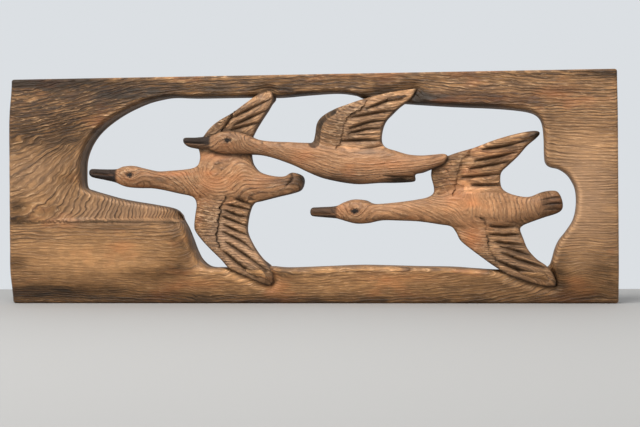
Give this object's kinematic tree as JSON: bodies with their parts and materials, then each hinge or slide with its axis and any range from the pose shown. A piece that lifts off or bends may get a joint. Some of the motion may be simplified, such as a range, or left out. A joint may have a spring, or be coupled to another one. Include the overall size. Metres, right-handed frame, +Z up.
{
  "type": "wood relief",
  "caption": "Openwork carved wooden wall relief: long-necked birds in flight inside the opening of one rounded, stained pine board, flat at the back for hanging",
  "frame": {"origin": "on the flat back of the top rail, half way along the board", "axes": "+X along the board to the right as seen from the front, +Y out of the flat back towards the wall, +Z up"},
  "size_m": [0.95, 0.05, 0.356],
  "materials": {
    "stained_pine": "brushed, dark stained pine with a dull oiled sheen"
  },
  "bodies": {
    "root": {"carved_panel": "stained_pine"}
  },
  "joints": []
}
